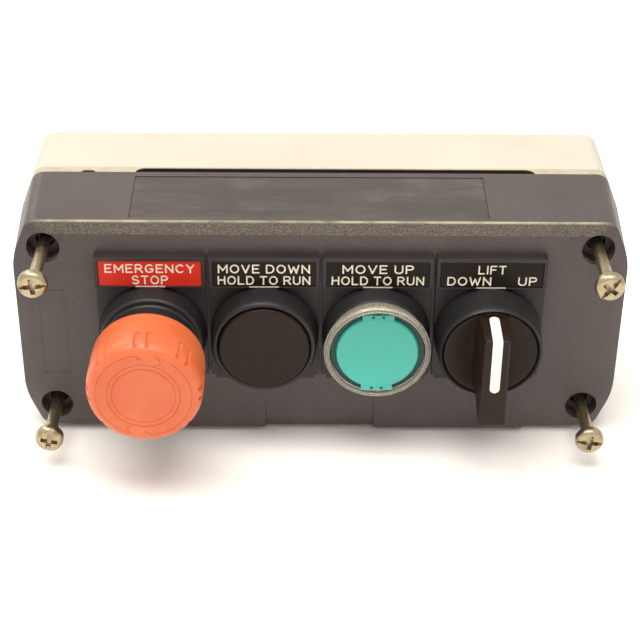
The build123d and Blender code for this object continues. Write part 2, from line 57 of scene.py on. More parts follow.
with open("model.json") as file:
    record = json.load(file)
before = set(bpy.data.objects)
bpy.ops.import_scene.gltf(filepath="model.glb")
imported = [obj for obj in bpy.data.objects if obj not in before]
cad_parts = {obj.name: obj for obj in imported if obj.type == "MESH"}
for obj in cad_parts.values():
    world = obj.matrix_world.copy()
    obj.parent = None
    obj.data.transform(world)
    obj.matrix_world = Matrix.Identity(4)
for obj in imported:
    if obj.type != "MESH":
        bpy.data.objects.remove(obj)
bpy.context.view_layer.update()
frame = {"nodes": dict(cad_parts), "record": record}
nodes = frame["nodes"]


def box_middle(node):
    low, high = (Vector(corner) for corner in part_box(node))
    return (low + high) / 2


BASE_EDGE = 27.0  # height of the parting line above the rear face
CASE_HALF = 34.0  # half the case's width there
SHOULDER = 51.7  # height of the front bevel's outer edge above the rear face
FACE_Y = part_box("cover_shell")[0][1]  # the cover's front face
HEAD_X = {name: box_middle(f"{name}_head").x for name in OPERATORS}


# ---- materials --------------------------------------------------------------------------------
class Shader:
    """A material under construction, with a short call for each kind of node."""

    def __init__(self, name, **sockets):
        self.material = bpy.data.materials.new(name)
        self.material.use_nodes = True
        self.tree = self.material.node_tree
        self.bsdf = self.tree.nodes["Principled BSDF"]
        self.coords = self.tree.nodes.new("ShaderNodeTexCoord").outputs["Object"]
        self.normal = None
        for socket, value in sockets.items():
            self.bsdf.inputs[socket.replace("_", " ")].default_value = value

    def link(self, source, target):
        self.tree.links.new(source, target)

    def feed(self, target, value):
        if isinstance(value, bpy.types.NodeSocket):
            self.link(value, target)
        else:
            target.default_value = value

    def mapping(self, scale=(1, 1, 1), rotation=(0, 0, 0)):
        node = self.tree.nodes.new("ShaderNodeMapping")
        node.inputs["Scale"].default_value = scale
        node.inputs["Rotation"].default_value = rotation
        self.link(self.coords, node.inputs["Vector"])
        return node.outputs["Vector"]

    def noise(self, size_mm, detail=3.0, roughness=0.55, vector=None):
        node = self.tree.nodes.new("ShaderNodeTexNoise")
        node.inputs["Scale"].default_value = 1.0 / (size_mm * MM)
        node.inputs["Detail"].default_value = detail
        node.inputs["Roughness"].default_value = roughness
        self.link(vector or self.coords, node.inputs["Vector"])
        return node.outputs["Fac"]

    def new(self, kind, value):
        """Outputs of a one-input node, by name."""
        node = self.tree.nodes.new(kind)
        self.link(value, node.inputs[0])
        return node.outputs

    def rescale(self, value, low, high, from_low=0.0, from_high=1.0):
        node = self.tree.nodes.new("ShaderNodeMapRange")
        node.inputs["From Min"].default_value = from_low
        node.inputs["From Max"].default_value = from_high
        node.inputs["To Min"].default_value = low
        node.inputs["To Max"].default_value = high
        self.link(value, node.inputs["Value"])
        return node.outputs["Result"]

    def mix(self, factor, one, two, blend="MIX"):
        node = self.tree.nodes.new("ShaderNodeMix")
        node.data_type = "RGBA"
        node.blend_type = blend
        self.feed(node.inputs["Factor"], factor)
        for socket, value in ((node.inputs[6], one), (node.inputs[7], two)):
            self.feed(socket, value if isinstance(value, bpy.types.NodeSocket) else (*value, 1.0))
        return node.outputs[2]

    def sums(self, operation, one, two):
        node = self.tree.nodes.new("ShaderNodeMath")
        node.operation = operation
        self.feed(node.inputs[0], one)
        self.feed(node.inputs[1], two)
        return node.outputs["Value"]

    def bump(self, height, depth_mm, strength=1.0):
        """Adds relief of that depth, on top of any relief before it."""
        node = self.tree.nodes.new("ShaderNodeBump")
        node.inputs["Strength"].default_value = strength
        node.inputs["Distance"].default_value = depth_mm * MM
        self.link(height, node.inputs["Height"])
        if self.normal:
            self.link(self.normal, node.inputs["Normal"])
        self.normal = node.outputs["Normal"]

    def finish(self, colour=None, roughness=None):
        if colour is not None:
            self.link(colour, self.bsdf.inputs["Base Color"])
        if roughness is not None:
            self.link(roughness, self.bsdf.inputs["Roughness"])
        if self.normal:
            self.link(self.normal, self.bsdf.inputs["Normal"])
        return self.material


def moulded(name, colour, shade, grain_mm, grain_depth, rough, dust=0.0, gloss=0.3):
    """Moulded plastic: spark-eroded grain, slow colour drift, and a little dust in fine specks."""
    dust_colour = (0.5, 0.47, 0.42)
    s = Shader(name, Specular_IOR_Level=gloss)
    drift = s.noise(38.0, detail=4.0)
    fine = s.noise(grain_mm, detail=2.0, roughness=0.7)
    base = s.mix(s.rescale(drift, 0.0, 1.0, 0.3, 0.7), colour, shade)
    if dust:
        specks = s.rescale(s.noise(0.9, detail=5.0, roughness=0.8), 0.0, dust, 0.66, 0.82)
        base = s.mix(specks, base, dust_colour)
    smudges = s.noise(14.0, detail=5.0, roughness=0.65)
    roughness = s.sums("ADD", s.rescale(smudges, rough - 0.08, rough + 0.08, 0.3, 0.7),
                       s.rescale(fine, -0.05, 0.05))
    s.bump(fine, grain_depth)
    return s.finish(base, roughness)


def grey_case():
    """Cream-grey base: fine grain, faint yellowing, a few scuffs and specks, with painted shade along the lip
    and in the finger slots.
    """
    s = Shader("grey_case")
    drift = s.noise(45.0, detail=4.0)
    base = s.mix(s.rescale(drift, 0.0, 1.0, 0.3, 0.7), (0.46, 0.425, 0.355), (0.52, 0.485, 0.41))
    scuffs = s.noise(2.6, detail=6.0, roughness=0.8, vector=s.mapping(scale=(0.35, 1.0, 1.0)))
    base = s.mix(s.rescale(scuffs, 0.0, 0.5, 0.69, 0.8), base, (0.30, 0.27, 0.23))
    fine = s.noise(0.35, detail=2.0, roughness=0.7)
    # painted shade: a darker band along the lip at the parting line, broken up by noise
    part = s.new("ShaderNodeSeparateXYZ", s.coords)
    depth = s.sums("MULTIPLY", part["Y"], -1.0)
    lip_shade = s.rescale(depth, 0.0, 1.0, (BASE_EDGE - 3.4) * MM, (BASE_EDGE - 2.6) * MM)
    lip_shade = s.sums("MULTIPLY", lip_shade, s.rescale(s.noise(3.0, detail=5.0), 0.45, 1.0, 0.3, 0.6))
    base = s.mix(s.sums("MULTIPLY", lip_shade, 0.8), base, (0.33, 0.28, 0.195))
    # painted shade: near black inside the finger slots, where the slot's box lies below the surface
    height = s.sums("ABSOLUTE", part["Z"], 0.0)
    sunk = s.rescale(height, 1.0, 0.0, (CASE_HALF - 0.30) * MM, (CASE_HALF - 0.10) * MM)
    end = s.rescale(s.sums("ABSOLUTE", part["X"], 0.0), 1.0, 0.0, 66.0 * MM, 66.5 * MM)
    front = s.rescale(depth, 0.0, 1.0, (BASE_EDGE - 2.55) * MM, (BASE_EDGE - 2.45) * MM)
    slot = s.sums("MULTIPLY", s.sums("MULTIPLY", sunk, end), front)
    base = s.mix(slot, base, (0.012, 0.008, 0.005))
    roughness = s.sums("ADD", s.rescale(s.noise(16.0, detail=4.0), 0.5, 0.66, 0.3, 0.7),
                       s.rescale(fine, -0.04, 0.04))
    s.bump(fine, 0.02)
    s.bump(scuffs, 0.008)
    return s.finish(base, roughness)


def dark_case():
    """Dark grey cover: coarse grain with painted glints on the upper bevel, a painted highlight along the
    bevel's outer edge, grey dust, light scratches.
    """
    s = Shader("dark_case", Specular_IOR_Level=0.42)
    drift = s.noise(30.0, detail=4.0)
    base = s.mix(s.rescale(drift, 0.0, 1.0, 0.3, 0.7), (0.050, 0.040, 0.041), (0.066, 0.053, 0.051))
    grain = s.noise(0.38, detail=2.5, roughness=0.7)
    # painted glints: the grain on the upper long bevel gets bright specks and flecks, a painted highlight
    # where the light glints on it
    geometry = s.tree.nodes.new("ShaderNodeNewGeometry")
    tilt = s.new("ShaderNodeSeparateXYZ", geometry.outputs["Normal"])
    leaning = s.sums("ABSOLUTE", s.sums("ADD", tilt["Y"], 0.93), 0.0)
    bevel = s.rescale(leaning, 1.0, 0.0, 0.02, 0.05)
    bevel = s.sums("MULTIPLY", bevel, s.rescale(tilt["Z"], 0.0, 1.0, 0.2, 0.3))
    sideways = s.sums("ABSOLUTE", tilt["X"], 0.0)
    bevel = s.sums("MULTIPLY", bevel, s.rescale(sideways, 1.0, 0.0, 0.05, 0.15))
    # painted highlight: bright specks on the bevel's grain
    speck = s.rescale(grain, 0.0, 1.0, 0.50, 0.66)
    base = s.mix(s.sums("MULTIPLY", speck, s.rescale(bevel, 0.12, 0.0)), base, (0.24, 0.22, 0.20))
    # more painted glints: light and dark flecks on the bevel
    coarse = s.noise(0.40, detail=4.0, roughness=0.85)
    glint_flecks = s.mix(s.rescale(coarse, 0.0, 1.0, 0.42, 0.68), (0.034, 0.028, 0.024), (0.24, 0.205, 0.155))
    base = s.mix(s.sums("MULTIPLY", bevel, 0.75), base, glint_flecks)
    # painted highlight: a pale line along the bevel's outer edge, where its rounded edge catches the light
    part = s.new("ShaderNodeSeparateXYZ", s.coords)
    off_edge = s.sums("ABSOLUTE", s.sums("ADD", part["Y"], SHOULDER * MM), 0.0)
    rubbed = s.rescale(off_edge, 1.0, 0.0, 0.10 * MM, 0.24 * MM)
    along = s.sums("ABSOLUTE", part["X"], 0.0)
    rubbed = s.sums("MULTIPLY", rubbed, s.rescale(along, 1.0, 0.0, 71.0 * MM, 77.0 * MM))
    rubbed = s.sums("MULTIPLY", rubbed, s.rescale(part["Z"], 0.0, 1.0, 0.0, MM))
    rubbed = s.sums("MULTIPLY", rubbed, s.rescale(s.noise(7.0, detail=5.0), 0.35, 1.0, 0.35, 0.6))
    # the painted edge highlight, mixed in
    base = s.mix(rubbed, base, (0.42, 0.375, 0.29))
    dust = s.noise(1.4, detail=6.0, roughness=0.8)
    base = s.mix(s.rescale(dust, 0.0, 0.5, 0.70, 0.84), base, (0.42, 0.40, 0.36))
    slanted = s.mapping(scale=(0.07, 1.0, 1.0), rotation=(0.3, 0.2, 0.5))
    scratch = s.noise(1.1, detail=4.0, roughness=0.6, vector=slanted)
    base = s.mix(s.rescale(scratch, 0.0, 0.16, 0.71, 0.78), base, (0.30, 0.28, 0.26))
    roughness = s.sums("ADD", s.rescale(s.noise(12.0, detail=5.0), 0.38, 0.52, 0.3, 0.7),
                       s.rescale(grain, -0.06, 0.06))
    s.bump(grain, 0.035)
    return s.finish(base, roughness)


def film():
    """Smooth film label: glossy, a little wavy, with faint rubbed streaks along it."""
    s = Shader("label_film", Coat_Weight=0.35, Coat_Roughness=0.08)
    streaks = s.noise(3.4, detail=5.0, roughness=0.7, vector=s.mapping(scale=(0.12, 1.0, 1.0)))
    base = s.mix(s.rescale(streaks, 0.0, 1.0, 0.42, 0.66), (0.026, 0.020, 0.015), (0.046, 0.036, 0.027))
    rubs = s.noise(5.0, detail=4.0, vector=s.mapping(scale=(0.25, 1.0, 1.0)))
    smear = s.sums("MULTIPLY", s.noise(16.0, detail=3.0), rubs)
    base = s.mix(s.rescale(smear, 0.0, 0.22, 0.26, 0.40), base, (0.16, 0.125, 0.115))
    roughness = s.rescale(streaks, 0.16, 0.34, 0.3, 0.7)
    s.bump(s.noise(9.0, detail=2.0), 0.05, 0.6)
    return s.finish(base, roughness)


def red_cap():
    """Orange-red mushroom: satin, slightly translucent, with small dull specks and patchy roughness."""
    s = Shader("red_plastic", Subsurface_Weight=0.12, Subsurface_Scale=0.002)
    s.bsdf.inputs["Subsurface Radius"].default_value = (1.0, 0.25, 0.12)
    drift = s.noise(9.0, detail=4.0)
    base = s.mix(s.rescale(drift, 0.0, 1.0, 0.3, 0.7), (0.555, 0.104, 0.032), (0.615, 0.140, 0.046))
    specks = s.rescale(s.noise(0.8, detail=5.0, roughness=0.8), 0.0, 0.4, 0.70, 0.82)
    base = s.mix(specks, base, (0.45, 0.10, 0.06))
    fine = s.noise(0.3, detail=2.0)
    roughness = s.sums("ADD", s.rescale(s.noise(6.0, detail=5.0), 0.34, 0.48, 0.3, 0.7),
                       s.rescale(fine, -0.03, 0.03))
    s.bump(fine, 0.012)
    return s.finish(base, roughness)


def green_lens_painted_shade():
    """Green lens: milky translucent plastic, with painted shade making it darker towards its upper edge."""
    s = Shader(
        "green_lens", Subsurface_Weight=0.2, Subsurface_Scale=0.002, Coat_Weight=0.25, Coat_Roughness=0.12,
    )
    s.bsdf.inputs["Subsurface Radius"].default_value = (0.3, 1.0, 0.7)
    drift = s.noise(10.0, detail=3.0)
    base = s.mix(s.rescale(drift, 0.0, 1.0, 0.3, 0.7), (0.034, 0.405, 0.33), (0.042, 0.45, 0.37))
    # painted shade: darker towards the upper edge
    height = s.new("ShaderNodeSeparateXYZ", s.coords)["Z"]
    base = s.mix(s.rescale(height, 0.0, 0.75, -9.0 * MM, 14.0 * MM), base, (0.020, 0.255, 0.205))
    roughness = s.rescale(s.noise(4.0, detail=4.0), 0.26, 0.40, 0.3, 0.7)
    s.bump(s.noise(0.5, detail=2.0), 0.008)
    return s.finish(base, roughness)


def clear_ring():
    """Clear moulded plastic with faint flow lines."""
    s = Shader("clear_plastic", Transmission_Weight=0.78, IOR=1.68)
    drift = s.noise(3.0, detail=4.0)
    base = s.mix(drift, (0.72, 0.67, 0.55), (0.82, 0.77, 0.66))
    roughness = s.rescale(drift, 0.03, 0.07, 0.3, 0.7)
    s.bump(s.noise(2.5, detail=1.0), 0.004)
    return s.finish(base, roughness)


def metal(name, colour, tarnish, rough, brushed_mm, stretch=(1.0, 0.05, 1.0)):
    """Plated or drawn metal: tool marks, tarnish patches and small dark pits."""
    s = Shader(name, Metallic=1.0)
    marks = s.noise(brushed_mm, detail=3.0, roughness=0.6, vector=s.mapping(scale=stretch))
    patches = s.noise(2.2, detail=5.0, roughness=0.7)
    base = s.mix(s.rescale(patches, 0.0, 0.85, 0.48, 0.72), colour, tarnish)
    pits = s.noise(0.35, detail=4.0, roughness=0.8)
    base = s.mix(s.rescale(pits, 0.0, 0.6, 0.62, 0.8), base, (0.10, 0.085, 0.06))
    dull = s.rescale(patches, rough, rough + 0.2, 0.35, 0.7)
    roughness = s.sums("ADD", dull, s.rescale(marks, -0.06, 0.06))
    s.bump(marks, 0.012)
    s.bump(pits, 0.012)
    return s.finish(base, roughness)


def laminate(name, colour, shade):
    """Engraving laminate: satin skin with fine linen grain and rubbed marks."""
    s = Shader(name, Specular_IOR_Level=0.14)
    drift = s.noise(7.0, detail=5.0)
    base = s.mix(s.rescale(drift, 0.0, 1.0, 0.3, 0.7), colour, shade)
    fine = s.noise(0.22, detail=2.0)
    roughness = s.sums("ADD", s.rescale(drift, 0.3, 0.42, 0.3, 0.7), s.rescale(fine, -0.04, 0.04))
    s.bump(fine, 0.008)
    return s.finish(base, roughness)


MATERIALS = {
    "grey_case": grey_case(),
    "dark_case": dark_case(),
    "label_film": film(),
    "seal_rubber": moulded("seal_rubber", (0.016, 0.016, 0.016), (0.028, 0.027, 0.026), 0.25, 0.01, 0.72),
    "brass": metal("brass", (0.72, 0.53, 0.26), (0.45, 0.31, 0.14), 0.25, 0.3, (1.0, 0.05, 1.0)),
    "zinc_steel": metal(
        "zinc_steel", (0.43, 0.355, 0.235), (0.21, 0.155, 0.085), 0.26, 0.22, (1.0, 0.15, 1.0),
    ),
    "spring_steel": metal(
        "spring_steel", (0.62, 0.62, 0.6), (0.42, 0.41, 0.4), 0.22, 0.12, (1.0, 1.0, 1.0),
    ),
    "holder_plastic": moulded(
        "holder_plastic", (0.020, 0.016, 0.017), (0.030, 0.024, 0.024), 0.3, 0.012, 0.38, 0.25,
    ),
    "red_legend": laminate("red_legend", (0.50, 0.024, 0.013), (0.56, 0.034, 0.019)),
    "black_legend": laminate("black_legend", (0.007, 0.005, 0.003), (0.012, 0.009, 0.006)),
    "letters": laminate("letters", (0.74, 0.69, 0.60), (0.82, 0.77, 0.68)),
    "bezel_plastic": moulded(
        "bezel_plastic", (0.012, 0.011, 0.013), (0.018, 0.017, 0.018), 0.3, 0.014, 0.40, 0.25,
    ),
    "nut_plastic": moulded("nut_plastic", (0.05, 0.05, 0.055), (0.065, 0.064, 0.07), 0.3, 0.012, 0.5),
    "red_plastic": red_cap(),
    "inner_plastic": moulded("inner_plastic", (0.02, 0.02, 0.021), (0.03, 0.03, 0.031), 0.3, 0.012, 0.45),
    "black_plastic": moulded(
        "black_plastic", (0.0105, 0.0050, 0.0025), (0.0165, 0.0085, 0.0050), 0.35, 0.010, 0.40, 0.2, 0.20,
    ),
    "clear_plastic": clear_ring(),
    "green_lens": green_lens_painted_shade(),
    # dark teal: painted shade for the sunk rebate around the green lens
    "rebate_plastic": moulded(
        "rebate_plastic", (0.012, 0.045, 0.042), (0.018, 0.060, 0.056), 0.3, 0.01, 0.35,
    ),
    "white_plastic": laminate("white_plastic", (0.80, 0.77, 0.68), (0.87, 0.85, 0.78)),
    "block_plastic": moulded(
        "block_plastic", (0.075, 0.08, 0.085), (0.095, 0.10, 0.105), 0.35, 0.012, 0.45,
    ),
    "red_plunger": moulded("red_plunger", (0.50, 0.04, 0.03), (0.58, 0.06, 0.04), 0.3, 0.01, 0.35),
    "green_plunger": moulded("green_plunger", (0.03, 0.28, 0.11), (0.05, 0.34, 0.14), 0.3, 0.01, 0.35),
}


def dress_nodes():
    """Every CAD node takes its slot's material."""
    for entry in frame["record"]["subparts"]:
        mesh = nodes[entry["node"]].data
        mesh.materials.clear()
        mesh.materials.append(MATERIALS[entry["material_slot"]])


def soften(node, width_mm, angle=32.0, segments=2):
    """Rounds a CAD node's hard edges, with its shape left as it is."""
    piece = nodes[node]
    weld = piece.modifiers.new("weld", "WELD")
    weld.merge_threshold = 0.002 * MM
    bevel = piece.modifiers.new("edges", "BEVEL")
    bevel.width = width_mm * MM
    bevel.segments = segments
    bevel.limit_method = "ANGLE"
    bevel.angle_limit = math.radians(angle)
    bevel.use_clamp_overlap = True
    normals = piece.modifiers.new("normals", "WEIGHTED_NORMAL")
    normals.weight = 80


# ---- mesh helpers -----------------------------------------------------------------------------
def new_piece(name, mesh, slot, body, smooth_angle=35.0):
    """Object from a mesh in the row frame, with its finish, riding on its body."""
    piece = bpy.data.objects.new(name, mesh)
    bpy.context.collection.objects.link(piece)
    mesh.materials.clear()
    mesh.materials.append(MATERIALS[slot])
    mesh.shade_smooth()
    mesh.set_sharp_from_angle(angle=math.radians(smooth_angle))
    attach(piece, body)
    return piece


def at_head(x, r, angle, t, z=0.0):
    """Point at radius r and angle about an operator's axis, t above the face; r, t in mm."""
    return Vector((x + r * MM * math.cos(angle), FACE_Y - t * MM, z + r * MM * math.sin(angle)))


def rounded(profile, radius_mm, steps=4):
    """(r, t) points with every inner corner rounded by an arc of about that radius."""
    out = [profile[0]]
    for before, corner, after in zip(profile, profile[1:], profile[2:]):
        a = Vector(before) - Vector(corner)
        b = Vector(after) - Vector(corner)
        reach = min(radius_mm, a.length * 0.45, b.length * 0.45)
        start = Vector(corner) + a.normalized() * reach
        end = Vector(corner) + b.normalized() * reach
        for k in range(steps + 1):
            u = k / steps
            out.append(tuple((1 - u) ** 2 * start + 2 * u * (1 - u) * Vector(corner) + u ** 2 * end))
    out.append(profile[-1])
    return out


def lathe(name, x, z, profile, closed=True, segments=160):
    """Mesh turned about the axis through (x, z), from (r, t) points in mm."""
    bm = bmesh.new()
    rings = []
    for r, t in profile:
        if r < 1e-6:
            rings.append([bm.verts.new(at_head(x, 0, 0, t, z))])
            continue
        turns = [2 * math.pi * k / segments for k in range(segments)]
        rings.append([bm.verts.new(at_head(x, r, angle, t, z)) for angle in turns])
    pairs = list(zip(rings, rings[1:]))
    if closed:
        pairs.append((rings[-1], rings[0]))
    for one, two in pairs:
        if len(one) == 1 and len(two) == 1:
            continue
        for k in range(segments):
            n = (k + 1) % segments
            loop = [one[k % len(one)], one[n % len(one)], two[n % len(two)], two[k % len(two)]]
            bm.faces.new(list(dict.fromkeys(loop)))
    bmesh.ops.recalc_face_normals(bm, faces=bm.faces)
    mesh = bpy.data.meshes.new(name)
    bm.to_mesh(mesh)
    bm.free()
    return mesh


def block_mesh(name, low, high):
    """Closed box between two corners."""
    bm = bmesh.new()
    bmesh.ops.create_cube(bm, size=1.0)
    size = Vector(high) - Vector(low)
    bmesh.ops.scale(bm, vec=size, verts=bm.verts)
    bmesh.ops.translate(bm, vec=(Vector(low) + Vector(high)) / 2, verts=bm.verts)
    mesh = bpy.data.meshes.new(name)
    bm.to_mesh(mesh)
    bm.free()
    return mesh


def cut(piece, tool_mesh, overlapping=False):
    """Cuts a closed mesh out of a piece and keeps the result as its mesh."""
    tool = bpy.data.objects.new("tool", tool_mesh)
    bpy.context.collection.objects.link(tool)
    boolean = piece.modifiers.new("cut", "BOOLEAN")
    boolean.object = tool
    boolean.solver = "EXACT"
    boolean.use_self = overlapping
    boolean.material_mode = "TRANSFER"
    graph = bpy.context.evaluated_depsgraph_get()
    result = bpy.data.meshes.new_from_object(piece.evaluated_get(graph))
    piece.modifiers.remove(boolean)
    old = piece.data
    piece.data = result
    bpy.data.meshes.remove(old)
    bpy.data.objects.remove(tool)
    bpy.data.meshes.remove(tool_mesh)


# ---- legends ----------------------------------------------------------------------------------
def arc(cx, cy, rx, ry, start, end, steps=12):
    """Points of an elliptical arc, with its angles in degrees."""
    points = []
    for k in range(steps + 1):
        angle = math.radians(start + (end - start) * k / steps)
        points.append((cx + rx * math.cos(angle), cy + ry * math.sin(angle)))
    return points


# Engraver's single-line capitals: width and strokes, with a capital one unit high.
GLYPHS = {
    "C": (0.64, [arc(0.34, 0.5, 0.34, 0.5, 48, 312)]),
    "D": (0.60, [
        [(0.28, 0), (0, 0), (0, 1), (0.28, 1)] + arc(0.28, 0.5, 0.32, 0.5, 80, -80, 10) + [(0.28, 0)],
    ]),
    "E": (0.52, [[(0.52, 1), (0, 1), (0, 0), (0.52, 0)], [(0, 0.52), (0.44, 0.52)]]),
    "F": (0.50, [[(0.50, 1), (0, 1), (0, 0)], [(0, 0.52), (0.42, 0.52)]]),
    "G": (0.66, [arc(0.34, 0.5, 0.34, 0.5, 48, 322) + [(0.64, 0.46), (0.38, 0.46)]]),
    "H": (0.58, [[(0, 0), (0, 1)], [(0.58, 0), (0.58, 1)], [(0, 0.52), (0.58, 0.52)]]),
    "I": (0.02, [[(0.01, 0), (0.01, 1)]]),
    "L": (0.48, [[(0, 1), (0, 0), (0.48, 0)]]),
    "M": (0.72, [[(0, 0), (0, 1), (0.36, 0.3), (0.72, 1), (0.72, 0)]]),
    "N": (0.60, [[(0, 0), (0, 1), (0.6, 0), (0.6, 1)]]),
    "O": (0.68, [arc(0.34, 0.5, 0.34, 0.5, 90, 450, 20)]),
    "P": (0.54, [
        [(0, 0), (0, 1), (0.28, 1)] + arc(0.28, 0.74, 0.26, 0.26, 70, -70, 6) + [(0.28, 0.48), (0, 0.48)],
    ]),
    "R": (0.58, [
        [(0, 0), (0, 1), (0.28, 1)] + arc(0.28, 0.74, 0.26, 0.26, 70, -70, 6) + [(0.28, 0.48), (0, 0.48)],
        [(0.30, 0.48), (0.58, 0)],
    ]),
    "S": (0.56, [arc(0.28, 0.75, 0.26, 0.25, 28, 262, 8) + arc(0.28, 0.25, 0.28, 0.25, 82, -152, 8)]),
    "T": (0.56, [[(0, 1), (0.56, 1)], [(0.28, 1), (0.28, 0)]]),
    "U": (0.58, [[(0, 1)] + arc(0.29, 0.29, 0.29, 0.29, 180, 360, 10) + [(0.58, 1)]]),
    "V": (0.62, [[(0, 1), (0.31, 0), (0.62, 1)]]),
    "W": (0.86, [[(0, 1), (0.21, 0), (0.43, 0.8), (0.65, 0), (0.86, 1)]]),
    "Y": (0.60, [[(0, 1), (0.3, 0.48), (0.6, 1)], [(0.3, 0.48), (0.3, 0)]]),
}
CAP_HEIGHT = 2.25  # between stroke centres
STROKE_R = 0.215
LETTER_GAP = 0.30
WORD_GAP = 0.36

# Rows of each plate: text, width and sideways shift in mm. The words are generic.
LEGENDS = {
    "estop": (("EMERGENCY", 23.2, 0.0), ("STOP", 9.2, 0.0)),
    "black": (("MOVE DOWN", 23.8, 0.0), ("HOLD TO RUN", 24.0, 0.0)),
    "green": (("MOVE UP", 18.4, 0.0), ("HOLD TO RUN", 24.0, 0.0)),
    "selector": (("LIFT", 7.0, 0.0), ("DOWN", 11.2, -5.9), ("UP", 4.6, 9.5)),
}


def split_corners(lines, limit=35.0):
    """Polylines cut in two at every corner sharper than the limit, in degrees."""
    out = []
    for line in lines:
        run = [line[0]]
        for before, corner, after in zip(line, line[1:], line[2:]):
            run.append(corner)
            if math.degrees((corner - before).angle(after - corner)) > limit:
                out.append(run)
                run = [corner]
        out.append(run + [line[-1]])
    return out


def tube_tool(lines, radius_mm):
    """Closed round-ended tubes along polylines of 3-D points, to cut grooves with."""
    curve = bpy.data.curves.new("tool", "CURVE")
    curve.dimensions = "3D"
    curve.bevel_depth = radius_mm * MM
    curve.bevel_resolution = 2
    curve.use_fill_caps = True
    for line in split_corners(lines):
        start = (line[0] - line[1]).normalized() * radius_mm * MM
        end = (line[-1] - line[-2]).normalized() * radius_mm * MM
        caps = ((0.98, 0.2), (0.8, 0.6), (0.45, 0.9))
        points = [(line[0] + start * s, r) for s, r in caps] + [(p, 1.0) for p in line]
        points += [(line[-1] + end * s, r) for s, r in reversed(caps)]
        spline = curve.splines.new("POLY")
        spline.points.add(len(points) - 1)
        for target, (place, size) in zip(spline.points, points):
            target.co = (*place, 1.0)
            target.radius = size
    holder = bpy.data.objects.new("tool", curve)
    bpy.context.collection.objects.link(holder)
    graph = bpy.context.evaluated_depsgraph_get()
    mesh = bpy.data.meshes.new_from_object(holder.evaluated_get(graph))
    bpy.data.objects.remove(holder)
    bpy.data.curves.remove(curve)
    bm = bmesh.new()
    bm.from_mesh(mesh)
    bmesh.ops.remove_doubles(bm, verts=bm.verts, dist=0.0002 * MM)
    bmesh.ops.recalc_face_normals(bm, faces=bm.faces)
    bm.to_mesh(mesh)
    bm.free()
    return mesh


def text_lines(text, width_mm, centre_x, base_z, y):
    """Stroke lines of a row of capitals, centred and fitted to a width."""
    strokes = []
    pen = 0.0
    for letter in text:
        if letter == " ":
            pen += WORD_GAP
            continue
        wide, lines = GLYPHS[letter]
        strokes += [[(pen + u, v) for u, v in line] for line in lines]
        pen += wide + LETTER_GAP
    pen -= LETTER_GAP
    stretch = width_mm / pen

    def place(u, v):
        return Vector((centre_x + (u * stretch - width_mm / 2) * MM, y, base_z + v * CAP_HEIGHT * MM))

    return [[place(u, v) for u, v in line] for line in strokes]


def make_legends():
    """Laminate plates with round-bottomed lettering engraved through to the pale core."""
    for name, rows in LEGENDS.items():
        low, high = (Vector(c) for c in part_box(f"{name}_legend"))
        middle = (low + high) / 2
        slot = "red_legend" if name == "estop" else "black_legend"
        plate = new_piece(f"{name}_legend_plate", block_mesh(name, low, high), slot, "cover")
        plate.data.materials.append(MATERIALS["letters"])
        lines = []
        for index, (text, width, shift) in enumerate(rows):
            base_z = middle.z + (0.42 if index == 0 else -3.02) * MM
            lines += text_lines(text, width, middle.x + shift * MM, base_z, low.y + 0.03 * MM)
        tool = tube_tool(lines, STROKE_R)
        tool.materials.append(MATERIALS["letters"])
        cut(plate, tool, overlapping=True)
        plate.data.shade_flat()
        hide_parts(f"{name}_legend")
        # painted highlight: a pale tab in the notch under the plate, standing in for a ledge that catches the
        # light
        tab = block_mesh("tab", (middle.x - 3.95 * MM, low.y + 0.15 * MM, low.z - 0.5 * MM),
                         (middle.x + 3.95 * MM, high.y, low.z - 0.03 * MM))
        new_piece(f"{name}_legend_notch_highlight", tab, "letters", "cover")


